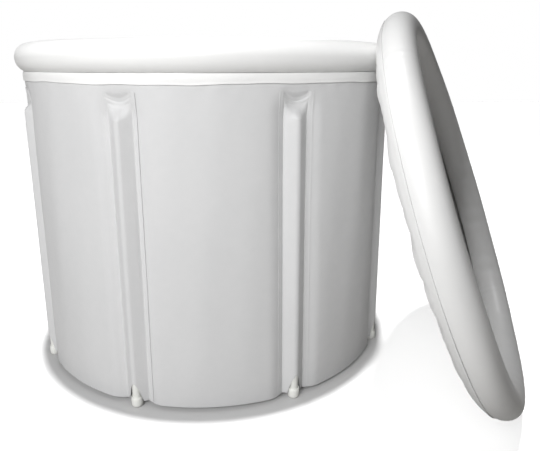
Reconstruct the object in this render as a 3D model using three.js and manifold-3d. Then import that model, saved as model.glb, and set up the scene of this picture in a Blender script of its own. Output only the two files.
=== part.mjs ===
// Cold plunge tub: an upright insulated tub of laminated sheet with an inflated ring as its rim,
// eight support rods in welded sleeves, a drain, and an inflated lid that leans on the ring.
// Millimetres, +Z up. The origin is on the tub's axis, at the underside of its base, and the rods'
// feet reach below it to the floor.

import * as THREE from "three";
import { mergeVertices } from "three/addons/utils/BufferGeometryUtils.js";
import Module from "manifold-3d";

const wasm = await Module();
wasm.setup();

// Fit and facets
const GAP = 0.3;
const ROUND_SEGMENTS = 48;
const TUBE_SIDES = 16;
const ROD_SIDES = 12;
const SMALL_SIDES = 16;
const KNUCKLE_SIDES = 8;
const ARCH_SEGMENTS = 5;

// Sheet and foam
const SKIN = 1.2;
const WALL_FOAM = 6;
const FLOOR_FOAM = 8;
const BASE_SHEET = 1.5;

// Tub and its inflated ring
const WALL_RADIUS = 445;
const RIM_HEIGHT = 750;
const RING_TUBE = 34;
const RING_SET_IN = 17;
const RING_CLEARANCE = 0.7;
const BAND_WIDTH = 20;
const VALLEY_DEPTH = 18;
const VALLEY_HALF_WIDTH = 62;

// Rods, caps and sleeves
const LEG_COUNT = 8;
const FIRST_LEG_DEG = -109;
const FOOT_DROP = 8;
const ROD_RADIUS = 10;
const ROD_WALL = 2;
const FOOT_RADIUS = 13;
const FOOT_HEIGHT = 22;
const FOOT_SOLE = 6;
const FOOT_ROUNDING = 4;
const FOOT_CLEARANCE = 0.8;
const TOP_CAP_HEAD = 3;
const TOP_CAP_PLUG = 12;
const SLEEVE_HALF_WIDTH = 38;
const TUNNEL_HALF_WIDTH = 26;
const TUNNEL_FULLNESS = 0.85;
const TUCK_DROP = 41;
const TUCK_SMILE = 18;
const TUCK_LENGTH = 28;
const SLEEVE_TOP_DROP = 15;
const SLEEVE_LIFT = 4;
const ARCH_HALF_WIDTH = 17;
const ARCH_HEIGHT = 47;

// Lid
const LID_TUBE = 34;
const LID_SET_IN = 30;
const LID_LEAN_DEG = 20;
const LID_FACING_DEG = -22;
const LID_BEARING_DEG = -30.5;
const MEMBRANE_BULGE = 16;
const MEMBRANE_SAG = 4;
const WELD_START_DEG = 39;
const WELD_END_DEG = 53;
const FOLD_HEIGHT = 2.5;
const FOLD_COUNT = 7;

// Air valves
const RING_VALVE_DEG = 90;
const LID_VALVE_DEG = 200;
const VALVE_FLANGE = 18;
const VALVE_PUCK = 3;
const VALVE_COLLAR = 11;
const VALVE_COLLAR_HEIGHT = 3;
const VALVE_NECK = 8;
const VALVE_DEPTH = 12;
const VALVE_BORE = 5;
const VALVE_INSERT_LENGTH = 12;
const VALVE_CAP = 12;
const VALVE_CAP_HEIGHT = 2.7;
const VALVE_KNUCKLE = 1.8;
const VALVE_HINGE_REACH = 15.5;
const VALVE_STRAP_WIDTH = 8;
const VALVE_LIP_REACH = 15;

// Drain
const DRAIN_HEIGHT = 62;
const DRAIN_STEM = 15;
const DRAIN_BORE = 10;
const DRAIN_STEM_LENGTH = 30;
const DRAIN_FLANGE = 28;
const DRAIN_FLANGE_SHEET = 3;
const DRAIN_GASKET = 2;
const DRAIN_NUT = 27;
const DRAIN_NUT_SIDES = 6;
const DRAIN_NUT_HEIGHT = 8;
const DRAIN_SEAL = 2;
const DRAIN_CAP_WALL = 5;
const DRAIN_CAP_ROOF = 4;
const DRAIN_CAP_GRIPS = 10;
const DRAIN_GRIP_DEPTH = 1.6;
const DRAIN_CAP_CLEARANCE = 4;

// Heights and radii that follow from the sizes above
const foamRadius = WALL_RADIUS - SKIN - GAP;
const linerRadius = foamRadius - WALL_FOAM - GAP;
const insideRadius = linerRadius - SKIN;
const ringRadius = WALL_RADIUS - RING_SET_IN;
const ringHeight = RIM_HEIGHT - RING_TUBE;
const bandRadius = WALL_RADIUS + GAP + SKIN;
const wallTop = ringUnderside(insideRadius);
const bandTop = ringUnderside(bandRadius);
const bandLow = bandTop - BAND_WIDTH;
const floorFoamLow = BASE_SHEET + GAP;
const linerLow = floorFoamLow + FLOOR_FOAM + GAP;
const valleyRadius = WALL_RADIUS - VALLEY_DEPTH;
const rodAxis = valleyRadius + FOOT_CLEARANCE + FOOT_RADIUS;
const tunnelCrown = rodAxis - valleyRadius + ROD_RADIUS + GAP;
const tuckHeight = bandLow - TUCK_DROP;
const rodLength = tuckHeight - TUCK_LENGTH + FOOT_DROP;
const sleeveTop = bandLow - SLEEVE_TOP_DROP;
const lidRadius = ringRadius - LID_SET_IN;

// Height just under the inflated ring at a distance from the tub's axis.
function ringUnderside(radius) {
  const across = radius - ringRadius;
  return ringHeight - Math.sqrt(RING_TUBE ** 2 - across ** 2) - RING_CLEARANCE;
}

// Solids

const radians = THREE.MathUtils.degToRad;

// The geometry's positions alone, with shared vertices merged and collapsed triangles dropped.
function weld(geometry) {
  const bare = new THREE.BufferGeometry();
  bare.setAttribute("position", geometry.getAttribute("position"));
  bare.setIndex(geometry.index);
  const merged = mergeVertices(bare, 1e-4);
  const kept = [];
  const corners = merged.index.array;
  for (let i = 0; i < corners.length; i += 3) {
    const [a, b, c] = [corners[i], corners[i + 1], corners[i + 2]];
    if (a !== b && b !== c && c !== a) kept.push(a, b, c);
  }
  merged.setIndex(kept);
  return merged;
}

function solidOf(geometry) {
  const merged = weld(geometry);
  const vertProperties = new Float32Array(merged.getAttribute("position").array);
  const triVerts = new Uint32Array(merged.index.array);
  return new wasm.Manifold(new wasm.Mesh({ numProp: 3, vertProperties, triVerts }));
}

function geometryOf(solid) {
  const mesh = solid.getMesh();
  const geometry = new THREE.BufferGeometry();
  geometry.setAttribute("position", new THREE.BufferAttribute(mesh.vertProperties, 3));
  geometry.setIndex(new THREE.BufferAttribute(mesh.triVerts, 1));
  geometry.computeVertexNormals();
  return geometry;
}

function cut(geometry, ...tools) {
  return geometryOf(tools.reduce((solid, tool) => solid.subtract(solidOf(tool)), solidOf(geometry)));
}

function join(geometry, ...others) {
  return geometryOf(others.reduce((solid, other) => solid.add(solidOf(other)), solidOf(geometry)));
}

// A turned solid about +Z: the profile of [radius, height] points runs up its outside.
function revolve(profile, segments = ROUND_SEGMENTS) {
  const points = profile.map(([radius, height]) => new THREE.Vector2(radius, height));
  return weld(new THREE.LatheGeometry(points, segments).rotateX(Math.PI / 2));
}

function hoop(outer, inner, low, high, segments) {
  const corners = [[inner, low], [outer, low], [outer, high], [inner, high], [inner, low]];
  return revolve(corners, segments);
}

function disc(radius, low, high, segments) {
  return revolve([[0, low], [radius, low], [radius, high], [0, high]], segments);
}

function box(width, depth, low, high, x) {
  return new THREE.BoxGeometry(width, depth, high - low).translate(x, 0, (low + high) / 2);
}

function torus(radius, tube) {
  return new THREE.TorusGeometry(radius, tube, TUBE_SIDES, ROUND_SEGMENTS);
}

// An inflated tube of thin sheet, open at its valve hole.
function airTube(radius, tube, valveHole) {
  return cut(torus(radius, tube), torus(radius, tube - SKIN), valveHole);
}

// A thin sheet between two grids of points, rows of columns; closed grids join their last column
// to their first.
function sheet(front, back, closed) {
  const rows = front.length;
  const columns = front[0].length;
  const steps = closed ? columns : columns - 1;
  const positions = [...front.flat(), ...back.flat()].flatMap((point) => point.toArray());
  const faces = [];
  const at = (side, row, column) => side * rows * columns + row * columns + (column % columns);
  const quad = (a, b, c, d) => faces.push(a, b, c, a, c, d);
  for (let row = 0; row < rows - 1; row += 1) {
    for (let column = 0; column < steps; column += 1) {
      const [a, b] = [at(0, row, column), at(0, row, column + 1)];
      const [c, d] = [at(0, row + 1, column + 1), at(0, row + 1, column)];
      const [e, f] = [at(1, row, column), at(1, row, column + 1)];
      const [g, h] = [at(1, row + 1, column + 1), at(1, row + 1, column)];
      quad(a, b, c, d);
      faces.push(e, g, f, e, h, g);
    }
  }
  for (let column = 0; column < steps; column += 1) {
    quad(at(1, 0, column), at(1, 0, column + 1), at(0, 0, column + 1), at(0, 0, column));
    const last = rows - 1;
    quad(at(0, last, column), at(0, last, column + 1), at(1, last, column + 1), at(1, last, column));
  }
  if (!closed) {
    for (let row = 0; row < rows - 1; row += 1) {
      quad(at(0, row, 0), at(0, row + 1, 0), at(1, row + 1, 0), at(1, row, 0));
      quad(at(1, row, steps), at(1, row + 1, steps), at(0, row + 1, steps), at(0, row, steps));
    }
  }
  const geometry = new THREE.BufferGeometry();
  geometry.setAttribute("position", new THREE.Float32BufferAttribute(positions, 3));
  geometry.setIndex(faces);
  return weld(geometry);
}

// Finishes

const finish = (color, roughness, metalness = 0) =>
  new THREE.MeshStandardMaterial({ color, roughness, metalness });
const greySheet = finish(0xc6c6c9, 0.55);
const whiteSheet = finish(0xf1f1ef, 0.4);
const linerSheet = finish(0xdfe1e3, 0.45);
const foam = finish(0xb9bdc2, 0.9);
const whitePlastic = finish(0xf3f3f0, 0.35);
const greyPlastic = finish(0x8d9196, 0.45);
const rubber = finish(0x2d2f31, 0.8);

function piece(name, geometry, material) {
  const mesh = new THREE.Mesh(geometry, material);
  mesh.name = name;
  return mesh;
}

// Walls, floor and rim

// Distances along the wall, from one rod to the next, at which its facets meet.
const panel = (2 * Math.PI * WALL_RADIUS) / LEG_COUNT;
const nearFacets = [TUNNEL_HALF_WIDTH, SLEEVE_HALF_WIDTH, VALLEY_HALF_WIDTH];
const halfPanel = [...nearFacets, (VALLEY_HALF_WIDTH + panel / 2) / 2];
const facetPlaces = [0, ...halfPanel, panel / 2, ...halfPanel.map((place) => panel - place).reverse()];
const wallSegments = facetPlaces.length * LEG_COUNT;

// Depth of the wall's dip at a distance from the nearest rod and a height. The panels stand out
// between the rods, and the dip dies out between the sleeves' tops and the ring.
function valleyDepth(across, height) {
  const place = Math.min(VALLEY_HALF_WIDTH, Math.abs(across));
  const facet = nearFacets.findIndex((edge) => place <= edge);
  const [from, to] = [facet > 0 ? nearFacets[facet - 1] : 0, nearFacets[facet]];
  const depthAt = (edge) => VALLEY_DEPTH * Math.cos((edge / VALLEY_HALF_WIDTH) * (Math.PI / 2)) ** 2;
  const fade = THREE.MathUtils.clamp((wallTop - height) / (wallTop - sleeveTop), 0, 1);
  return fade * THREE.MathUtils.mapLinear(place, from, to, depthAt(from), depthAt(to));
}

// Points round the wall at a height, set out from the rods, with all of its dip or a share of it.
function wallRow(radius, height, dipShare = 1) {
  return Array.from({ length: wallSegments }, (_, facet) => {
    const legNumber = Math.floor(facet / facetPlaces.length);
    const along = facetPlaces[facet % facetPlaces.length];
    const angle = radians(FIRST_LEG_DEG) + (legNumber * panel + along) / WALL_RADIUS;
    const dip = dipShare * valleyDepth(Math.min(along, panel - along), height);
    const reach = radius * (1 - dip / WALL_RADIUS);
    return new THREE.Vector3(reach * Math.cos(angle), reach * Math.sin(angle), height);
  });
}

function wallLayer(outer, inner) {
  const rows = (radius) => [floorFoamLow, sleeveTop, wallTop].map((height) => wallRow(radius, height));
  return sheet(rows(outer), rows(inner), true);
}

// The strip under the ring stays round.
function band() {
  const rows = (radius) => [bandLow, bandTop].map((height) => wallRow(radius, height, 0));
  return sheet(rows(bandRadius), rows(WALL_RADIUS + GAP), true);
}

function floorLayer(radius, low, high) {
  const rows = (height) => [wallRow(0, height), wallRow(radius, height)];
  return sheet(rows(low), rows(high), true);
}

function cup(outer, inner, low, floor) {
  const rows = (radius, height) => [
    wallRow(0, height),
    wallRow(radius, height),
    wallRow(radius, sleeveTop),
    wallRow(radius, wallTop),
  ];
  return sheet(rows(outer, low), rows(inner, floor), true);
}

// The hole through the whole wall for the drain's stem, at the back of the tub.
function drainHole() {
  const through = WALL_RADIUS + DRAIN_STEM_LENGTH;
  const hole = disc(DRAIN_STEM + GAP, insideRadius - DRAIN_STEM, through, SMALL_SIDES);
  return hole.rotateX(-Math.PI / 2).translate(0, 0, DRAIN_HEIGHT);
}

function wallPieces() {
  const hole = drainHole();
  const outer = cut(wallLayer(WALL_RADIUS, WALL_RADIUS - SKIN), hole);
  const filling = cut(wallLayer(foamRadius, foamRadius - WALL_FOAM), hole);
  const liner = cut(cup(linerRadius, insideRadius, linerLow, linerLow + SKIN), hole);
  return [
    piece("outer_wall", outer, greySheet),
    piece("wall_foam", filling, foam),
    piece("inner_liner", liner, linerSheet),
    piece("base_panel", floorLayer(WALL_RADIUS, 0, BASE_SHEET), greySheet),
    piece("floor_foam", floorLayer(linerRadius, floorFoamLow, linerLow - GAP), foam),
    piece("top_band", band(), whiteSheet),
  ];
}

// Legs, in a frame whose +X runs out from the tub's axis through the rod

// Distance of the sleeve's inner face from the wall, at a distance across and a height.
function sleeveLift(across, height) {
  const share = Math.min(1, (across / TUNNEL_HALF_WIDTH) ** 2);
  const arch = (1 - share) ** TUNNEL_FULLNESS;
  const tuckStart = tuckHeight + TUCK_SMILE * share - TUCK_LENGTH;
  const closing = THREE.MathUtils.clamp((height - tuckStart) / TUCK_LENGTH, 0, 1);
  return GAP + (tunnelCrown - GAP) * arch * Math.sqrt(1 - closing ** 2);
}

function sleevePoint(across, height, extra) {
  const radius = WALL_RADIUS - valleyDepth(across, height) + sleeveLift(across, height) + extra;
  const angle = across / WALL_RADIUS;
  return new THREE.Vector3(radius * Math.cos(angle), radius * Math.sin(angle), height);
}

// A strip welded to the wall along both edges, with a crowned tunnel for the rod that closes in a
// smile-shaped tuck at the top and opens in an arch at the foot.
function sleeve() {
  const tunnelSteps = 8;
  const columns = [-SLEEVE_HALF_WIDTH];
  for (let step = 0; step <= tunnelSteps; step += 1) {
    columns.push(TUNNEL_HALF_WIDTH * ((2 * step) / tunnelSteps - 1));
  }
  columns.push(SLEEVE_HALF_WIDTH);
  const tuckShares = [0, 0.5, 0.75, 0.92, 1];
  const heightsAt = (across) => {
    const share = Math.min(1, (across / TUNNEL_HALF_WIDTH) ** 2);
    const start = tuckHeight + TUCK_SMILE * share - TUCK_LENGTH;
    const tuck = tuckShares.map((part) => start + TUCK_LENGTH * part);
    return [SLEEVE_LIFT, ...tuck, sleeveTop];
  };
  const rows = tuckShares.length + 2;
  const grid = (extra) =>
    Array.from({ length: rows }, (_, row) =>
      columns.map((across) => sleevePoint(across, heightsAt(across)[row], extra)),
    );
  const strip = sheet(grid(SKIN), grid(0), false);
  const arch = new THREE.Shape();
  arch.moveTo(-ARCH_HALF_WIDTH, 0);
  arch.lineTo(ARCH_HALF_WIDTH, 0);
  arch.lineTo(ARCH_HALF_WIDTH, ARCH_HEIGHT - ARCH_HALF_WIDTH);
  arch.absarc(0, ARCH_HEIGHT - ARCH_HALF_WIDTH, ARCH_HALF_WIDTH, 0, Math.PI, false);
  const depth = 2 * tunnelCrown;
  const opening = new THREE.ExtrudeGeometry(arch, {
    depth,
    bevelEnabled: false,
    curveSegments: ARCH_SEGMENTS,
  });
  opening.rotateX(Math.PI / 2).rotateZ(Math.PI / 2).translate(valleyRadius - tunnelCrown / 2, 0, 0);
  return cut(strip, opening);
}

// The rod and its caps, with heights over the floor that the foot stands on

function supportRod() {
  const low = FOOT_SOLE + GAP;
  const high = rodLength - TOP_CAP_HEAD - GAP;
  return hoop(ROD_RADIUS, ROD_RADIUS - ROD_WALL, low, high, ROD_SIDES);
}

function footCap() {
  const rounding = [];
  const roundingSteps = 3;
  for (let step = 0; step <= roundingSteps; step += 1) {
    const turn = (step / roundingSteps) * (Math.PI / 2);
    const radius = FOOT_RADIUS - FOOT_ROUNDING * (1 - Math.sin(turn));
    rounding.push([radius, FOOT_ROUNDING * (1 - Math.cos(turn))]);
  }
  const socket = ROD_RADIUS + GAP;
  const mouth = [[FOOT_RADIUS, FOOT_HEIGHT], [socket, FOOT_HEIGHT], [socket, FOOT_SOLE], [0, FOOT_SOLE]];
  return revolve([[0, 0], ...rounding, ...mouth], ROD_SIDES);
}

function rodTopCap() {
  const plug = ROD_RADIUS - ROD_WALL - GAP;
  const shoulder = rodLength - TOP_CAP_HEAD;
  const edge = ROD_RADIUS - TOP_CAP_HEAD / 2;
  return revolve(
    [
      [0, shoulder - TOP_CAP_PLUG],
      [plug, shoulder - TOP_CAP_PLUG],
      [plug, shoulder],
      [ROD_RADIUS, shoulder],
      [ROD_RADIUS, rodLength - TOP_CAP_HEAD / 2],
      [edge, rodLength],
      [0, rodLength],
    ],
    ROD_SIDES,
  );
}

function leg(number) {
  const group = new THREE.Group();
  group.rotation.z = radians(FIRST_LEG_DEG + ((number - 1) * 360) / LEG_COUNT);
  group.add(piece(`rod_sleeve_${number}`, sleeve(), greySheet));
  const upright = new THREE.Group();
  upright.position.set(rodAxis, 0, -FOOT_DROP);
  upright.add(piece(`support_rod_${number}`, supportRod(), whitePlastic));
  upright.add(piece(`foot_cap_${number}`, footCap(), whitePlastic));
  upright.add(piece(`rod_top_cap_${number}`, rodTopCap(), greyPlastic));
  return group.add(upright);
}

// Air valves, in a frame at the tube's core with +Z out through the tube's wall

function valveHole(tube) {
  return disc(VALVE_NECK + GAP, 0, tube + VALVE_PUCK, SMALL_SIDES);
}

// Points away from the ring's middle where outward is 1, and towards it where it is -1. The cap's
// strap is on the side of +X.
function valveFrame(radius, degrees, outward) {
  const angle = radians(degrees);
  const radial = new THREE.Vector3(Math.cos(angle), Math.sin(angle), 0);
  const out = radial.clone().multiplyScalar(outward);
  const along = new THREE.Vector3(0, 0, 1).cross(out);
  const side = out.clone().cross(along);
  return new THREE.Matrix4().makeBasis(along, side, out).setPosition(radial.multiplyScalar(radius));
}

// A moulded flange shaped to the tube, a neck through the sheet, an insert with the one-way flap,
// and a cap on a strap that folds along the tube.
function valvePieces(prefix, radius, tube, frame) {
  const puckTop = tube + VALVE_PUCK;
  const collarTop = puckTop + VALVE_COLLAR_HEIGHT;
  const bore = disc(VALVE_BORE, 0, collarTop + VALVE_PUCK, SMALL_SIDES);
  const sideDrop = tube - Math.sqrt(tube ** 2 - VALVE_FLANGE ** 2);
  const blank = disc(VALVE_FLANGE, tube - sideDrop - GAP, puckTop, SMALL_SIDES);
  const flange = cut(blank.applyMatrix4(frame), torus(radius, tube + GAP));
  const neck = disc(VALVE_NECK, tube - VALVE_DEPTH, puckTop, SMALL_SIDES).applyMatrix4(frame);
  const collar = disc(VALVE_COLLAR, puckTop - GAP, collarTop, SMALL_SIDES).applyMatrix4(frame);
  const base = cut(join(flange, neck, collar), bore.applyMatrix4(frame));

  const insertTop = collarTop - GAP;
  const insert = disc(VALVE_BORE - GAP, insertTop - VALVE_INSERT_LENGTH, insertTop, SMALL_SIDES);

  const capLow = collarTop + GAP;
  const capTop = capLow + VALVE_CAP_HEIGHT;
  const strapTop = capLow + VALVE_KNUCKLE;
  const knuckleHeight = puckTop + GAP + VALVE_KNUCKLE;
  const knuckle = new THREE.CylinderGeometry(
    VALVE_KNUCKLE,
    VALVE_KNUCKLE,
    VALVE_STRAP_WIDTH,
    KNUCKLE_SIDES,
  );
  const cap = join(
    disc(VALVE_CAP, capLow, capTop, SMALL_SIDES),
    box(VALVE_HINGE_REACH, VALVE_STRAP_WIDTH, capLow, strapTop, VALVE_HINGE_REACH / 2),
    knuckle.translate(VALVE_HINGE_REACH, 0, knuckleHeight),
    box(VALVE_LIP_REACH, VALVE_STRAP_WIDTH, capLow, strapTop, -VALVE_LIP_REACH / 2),
  );
  return [
    piece(`${prefix}_valve_base`, base, whitePlastic),
    piece(`${prefix}_valve_insert`, insert.applyMatrix4(frame), greyPlastic),
    piece(`${prefix}_valve_cap`, cap.applyMatrix4(frame), whitePlastic),
  ];
}

function rim() {
  const group = new THREE.Group();
  group.position.z = ringHeight;
  const frame = valveFrame(ringRadius, RING_VALVE_DEG, 1);
  const skin = airTube(ringRadius, RING_TUBE, valveHole(RING_TUBE).applyMatrix4(frame));
  group.add(piece("top_air_ring", skin, whiteSheet));
  return group.add(...valvePieces("ring", ringRadius, RING_TUBE, frame));
}

// Drain, in a frame on the outer wall with +Z out of the tub

// The cap's outline: a round with shallow finger hollows.
function gripOutline(radius) {
  const stepsPerGrip = 4;
  const steps = DRAIN_CAP_GRIPS * stepsPerGrip;
  const points = Array.from({ length: steps }, (_, step) => {
    const turn = (step / steps) * 2 * Math.PI;
    const hollow = DRAIN_GRIP_DEPTH * (0.5 + 0.5 * Math.cos(DRAIN_CAP_GRIPS * turn));
    const reach = radius - hollow;
    return new THREE.Vector2(reach * Math.cos(turn), reach * Math.sin(turn));
  });
  return new THREE.Shape(points);
}

function drain() {
  const group = new THREE.Group();
  group.position.set(0, WALL_RADIUS, DRAIN_HEIGHT);
  group.rotation.x = -Math.PI / 2;

  const facetDrop = DRAIN_FLANGE * Math.tan(Math.PI / ROUND_SEGMENTS);
  const gasketHigh = insideRadius - facetDrop - GAP - WALL_RADIUS;
  const gasketLow = gasketHigh - DRAIN_GASKET;
  const flangeHigh = gasketLow - GAP;
  const stemBody = revolve(
    [
      [DRAIN_BORE, flangeHigh - DRAIN_FLANGE_SHEET],
      [DRAIN_FLANGE, flangeHigh - DRAIN_FLANGE_SHEET],
      [DRAIN_FLANGE, flangeHigh],
      [DRAIN_STEM, flangeHigh],
      [DRAIN_STEM, DRAIN_STEM_LENGTH],
      [DRAIN_BORE, DRAIN_STEM_LENGTH],
      [DRAIN_BORE, flangeHigh - DRAIN_FLANGE_SHEET],
    ],
    SMALL_SIDES,
  );
  const stemClear = DRAIN_STEM + GAP;
  const gasket = hoop(DRAIN_FLANGE, stemClear, gasketLow, gasketHigh, SMALL_SIDES);
  const nutTop = GAP + DRAIN_NUT_HEIGHT;
  const nutBlank = disc(DRAIN_NUT, GAP, nutTop, DRAIN_NUT_SIDES);
  const nut = cut(nutBlank, disc(stemClear, 0, nutTop + GAP, SMALL_SIDES));

  const sealLow = DRAIN_STEM_LENGTH + GAP;
  const sealHigh = sealLow + DRAIN_SEAL;
  const seal = hoop(DRAIN_STEM, DRAIN_BORE, sealLow, sealHigh, SMALL_SIDES);
  const capLow = nutTop + DRAIN_CAP_CLEARANCE;
  const roofLow = sealHigh + GAP;
  const depth = roofLow + DRAIN_CAP_ROOF - capLow;
  const outline = gripOutline(stemClear + DRAIN_CAP_WALL);
  const capBlank = new THREE.ExtrudeGeometry(outline, { depth, bevelEnabled: false });
  const cap = cut(capBlank.translate(0, 0, capLow), disc(stemClear, capLow - GAP, roofLow, SMALL_SIDES));

  group.add(piece("drain_body", stemBody, greyPlastic));
  group.add(piece("drain_gasket", gasket, rubber));
  group.add(piece("drain_nut", nut, greyPlastic));
  group.add(piece("drain_seal", seal, rubber));
  return group.add(piece("drain_cap", cap, greyPlastic));
}

// Lid, in a frame at its ring's centre with +Z out of its open side and +Y up its slope

// The membrane's section from the weld on the tube's shoulder to the middle of the lid.
function membraneSection() {
  const onTube = (degrees) => {
    const reach = LID_TUBE + GAP;
    const turn = radians(degrees);
    return new THREE.Vector2(lidRadius + reach * Math.cos(turn), -reach * Math.sin(turn));
  };
  const weldEnd = onTube(WELD_END_DEG);
  const turn = radians(WELD_END_DEG);
  const leaving = new THREE.Vector2(-Math.sin(turn), -Math.cos(turn));
  const back = -LID_TUBE - MEMBRANE_BULGE;
  return [
    onTube(WELD_START_DEG),
    weldEnd,
    weldEnd.clone().addScaledVector(leaving, LID_TUBE / 2),
    new THREE.Vector2(lidRadius - LID_TUBE / 2, back + FOLD_HEIGHT),
    new THREE.Vector2(lidRadius - 2 * LID_TUBE, back),
    new THREE.Vector2(lidRadius - 4 * LID_TUBE, back),
    new THREE.Vector2(lidRadius / 3, back + MEMBRANE_SAG / 2),
    new THREE.Vector2(0, back + MEMBRANE_SAG),
  ];
}

// Rows of points from the weld to the middle, set off the section by a thickness, with soft folds
// that run in from the rim and die out at the weld and in the middle.
function membraneGrid(thickness) {
  const section = membraneSection();
  return section.map((point, row) => {
    const before = section[Math.max(0, row - 1)];
    const after = section[Math.min(section.length - 1, row + 1)];
    const run = after.clone().sub(before).normalize();
    const place = point.clone().addScaledVector(new THREE.Vector2(-run.y, run.x), thickness);
    const middle = row === section.length - 1;
    const radius = middle ? 0 : place.x;
    const folded = row > 2 && !middle;
    return Array.from({ length: ROUND_SEGMENTS }, (_, column) => {
      const turn = (column / ROUND_SEGMENTS) * 2 * Math.PI;
      const fold = folded ? FOLD_HEIGHT * Math.sin(FOLD_COUNT * turn + row) : 0;
      return new THREE.Vector3(radius * Math.cos(turn), radius * Math.sin(turn), place.y + fold);
    });
  });
}

function lidMatrix(distance) {
  const lean = radians(LID_LEAN_DEG);
  const facing = radians(LID_FACING_DEG);
  const bearing = radians(LID_BEARING_DEG);
  const level = new THREE.Vector3(Math.cos(facing), Math.sin(facing), 0);
  const up = new THREE.Vector3(0, 0, 1);
  const open = level.clone().multiplyScalar(Math.cos(lean)).addScaledVector(up, Math.sin(lean));
  const slope = up.clone().multiplyScalar(Math.cos(lean)).addScaledVector(level, -Math.sin(lean));
  const height = lidRadius * Math.cos(lean) + LID_TUBE - FOOT_DROP;
  return new THREE.Matrix4()
    .makeBasis(slope.clone().cross(open), slope, open)
    .setPosition(distance * Math.cos(bearing), distance * Math.sin(bearing), height);
}

// Points spread over the quads of a closed grid.
function spread(grid, parts) {
  const points = [];
  for (let row = 0; row < grid.length - 1; row += 1) {
    for (let step = 0; step < grid[row].length * parts * parts; step += 1) {
      const column = Math.floor(step / (parts * parts));
      const next = (column + 1) % grid[row].length;
      const across = (step % parts) / parts;
      const down = (Math.floor(step / parts) % parts) / parts;
      const upper = grid[row][column].clone().lerp(grid[row][next], across);
      const lower = grid[row + 1][column].clone().lerp(grid[row + 1][next], across);
      points.push(upper.lerp(lower, down));
    }
  }
  return points;
}

// Least distance from points of the membrane's outer face to the tub's ring, for a lid at a distance.
function lidClearance(face, distance) {
  const matrix = lidMatrix(distance);
  const place = new THREE.Vector3();
  const clearances = face.map((point) => {
    place.copy(point).applyMatrix4(matrix);
    const across = Math.hypot(place.x, place.y) - ringRadius;
    return Math.hypot(across, place.z - ringHeight) - RING_TUBE;
  });
  return Math.min(...clearances);
}

// The lid stands on the floor, as near to the tub as its membrane allows.
function lidDistance() {
  let near = WALL_RADIUS;
  let far = 3 * WALL_RADIUS;
  const halvings = 30;
  const partsPerQuad = 4;
  const face = spread(membraneGrid(SKIN), partsPerQuad);
  for (let step = 0; step < halvings; step += 1) {
    const middle = (near + far) / 2;
    if (lidClearance(face, middle) < GAP) near = middle;
    else far = middle;
  }
  return far;
}

function lid() {
  const group = new THREE.Group();
  lidMatrix(lidDistance()).decompose(group.position, group.quaternion, group.scale);
  const frame = valveFrame(lidRadius, LID_VALVE_DEG, -1);
  const skin = airTube(lidRadius, LID_TUBE, valveHole(LID_TUBE).applyMatrix4(frame));
  group.add(piece("lid_air_ring", skin, whiteSheet));
  group.add(piece("lid_membrane", sheet(membraneGrid(0), membraneGrid(SKIN), true), whiteSheet));
  return group.add(...valvePieces("lid", lidRadius, LID_TUBE, frame));
}

const tub = new THREE.Group();
tub.add(...wallPieces(), rim(), drain(), lid());
for (let number = 1; number <= LEG_COUNT; number += 1) tub.add(leg(number));

export default tub;
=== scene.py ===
"""Looks of an upright cold plunge tub with an inflated rim and a lid that leans on it."""

import logging
import math
from dataclasses import dataclass
from enum import Enum

import bmesh
import bpy
import numpy as np
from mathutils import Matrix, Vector


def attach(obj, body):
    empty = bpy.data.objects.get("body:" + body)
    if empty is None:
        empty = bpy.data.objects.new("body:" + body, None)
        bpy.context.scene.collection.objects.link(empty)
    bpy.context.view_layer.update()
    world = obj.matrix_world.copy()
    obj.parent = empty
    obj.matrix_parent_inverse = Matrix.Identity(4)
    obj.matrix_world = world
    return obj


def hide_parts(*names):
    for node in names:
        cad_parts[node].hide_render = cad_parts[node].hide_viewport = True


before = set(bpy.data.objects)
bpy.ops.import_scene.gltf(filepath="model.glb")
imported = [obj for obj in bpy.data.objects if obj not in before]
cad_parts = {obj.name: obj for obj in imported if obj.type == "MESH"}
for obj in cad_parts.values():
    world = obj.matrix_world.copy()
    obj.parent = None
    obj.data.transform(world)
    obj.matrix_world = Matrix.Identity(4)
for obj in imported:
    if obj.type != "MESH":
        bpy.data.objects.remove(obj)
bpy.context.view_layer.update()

log = logging.getLogger("plunge_tub")
Array = np.ndarray
Thing = bpy.types.Object
CUT_MAP = "cut"


class Slot(Enum):
    """Material slots of the record."""

    WALL = "wall_sheet"
    WHITE = "white_sheet"
    LINER = "liner_sheet"
    FOAM = "foam"
    WHITE_PLASTIC = "white_plastic"
    GREY_PLASTIC = "grey_plastic"
    RUBBER = "rubber"


class Hold(Enum):
    """Ways in which a sheet is held."""

    STRETCHED = "stretched"
    HUNG = "hung"
    LAID = "laid"


# Meshes


def grid_quads(rows: int, columns: int, wrap_rows: bool, wrap_columns: bool) -> tuple[Array, Array]:
    """Quads of a grid of points, facing the way of column step times row step.

    Args:
        rows: points along the first parameter.
        columns: points along the second parameter.
        wrap_rows: whether the last row joins the first.
        wrap_columns: whether the last column joins the first.

    Returns:
        Vertex numbers (n, 4), and the row and column of each corner (n, 4, 2), not wrapped.
    """
    row, column = np.meshgrid(
        np.arange(rows if wrap_rows else rows - 1),
        np.arange(columns if wrap_columns else columns - 1),
        indexing="ij",
    )
    steps = np.array([[0, 0], [0, 1], [1, 1], [1, 0]])
    corners = np.stack([row.ravel(), column.ravel()], -1)[:, None, :] + steps
    numbers = (corners[..., 0] % rows) * columns + corners[..., 1] % columns
    return numbers, corners


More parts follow.
